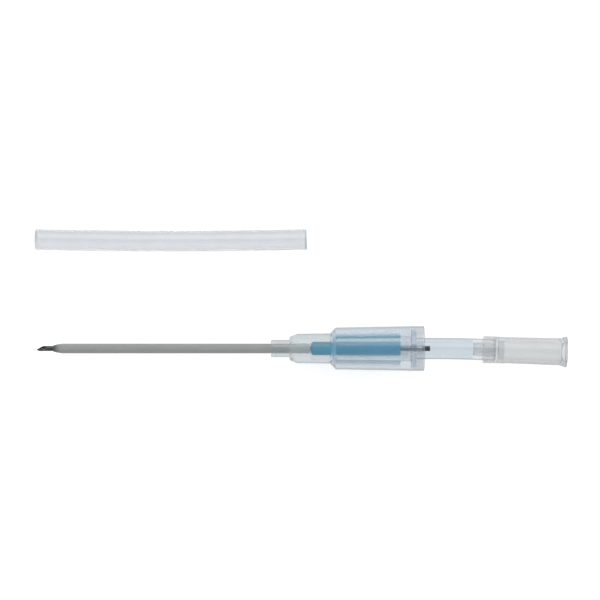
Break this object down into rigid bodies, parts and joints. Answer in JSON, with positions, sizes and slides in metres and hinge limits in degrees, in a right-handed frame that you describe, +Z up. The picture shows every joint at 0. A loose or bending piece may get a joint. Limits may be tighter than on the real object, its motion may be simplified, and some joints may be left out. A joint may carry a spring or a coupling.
{
  "type": "intravenous cannula",
  "caption": "Over-the-needle intravenous cannula: catheter with clear hub, needle with blue holder, flash tube and vent plug, its cover tube lying beside it.",
  "frame": {"origin": "centre of the catheter hub's rear mouth, on the needle's axis", "axes": "+X along the needle from its point towards the vent plug, +Z up from the surface that it lies on"},
  "size_m": [0.0928, 0.0247, 0.0078],
  "materials": {
    "catheter_plastic": "satin translucent grey fluoropolymer",
    "hub_plastic": "clear polypropylene, faintly frosted",
    "needle_steel": "drawn and ground stainless steel",
    "holder_plastic": "blue moulded plastic",
    "needle_hub_plastic": "clear moulded plastic",
    "tube_plastic": "clear extruded tubing",
    "plug_plastic": "frosted moulded polyethylene",
    "filter_media": "sintered porous plastic",
    "cover_plastic": "thin milky extruded tubing"
  },
  "bodies": {
    "catheter": {"catheter_tube": "catheter_plastic", "catheter_hub": "hub_plastic", "cover_tube": "cover_plastic"},
    "needle_unit": {"needle": "needle_steel", "needle_holder": "holder_plastic", "needle_hub": "needle_hub_plastic", "flash_tube": "tube_plastic"},
    "vent_unit": {"vent_plug": "plug_plastic", "vent_filter": "filter_media"}
  },
  "joints": [
    {"name": "needle_withdrawal", "type": "slide", "parent": "catheter", "child": "needle_unit", "axis": [1, 0, 0], "range_m": [0, 0.07]},
    {"name": "vent_plug_pull", "type": "slide", "parent": "needle_unit", "child": "vent_unit", "axis": [0.9995, -0.0305, 0], "range_m": [0, 0.006]}
  ]
}
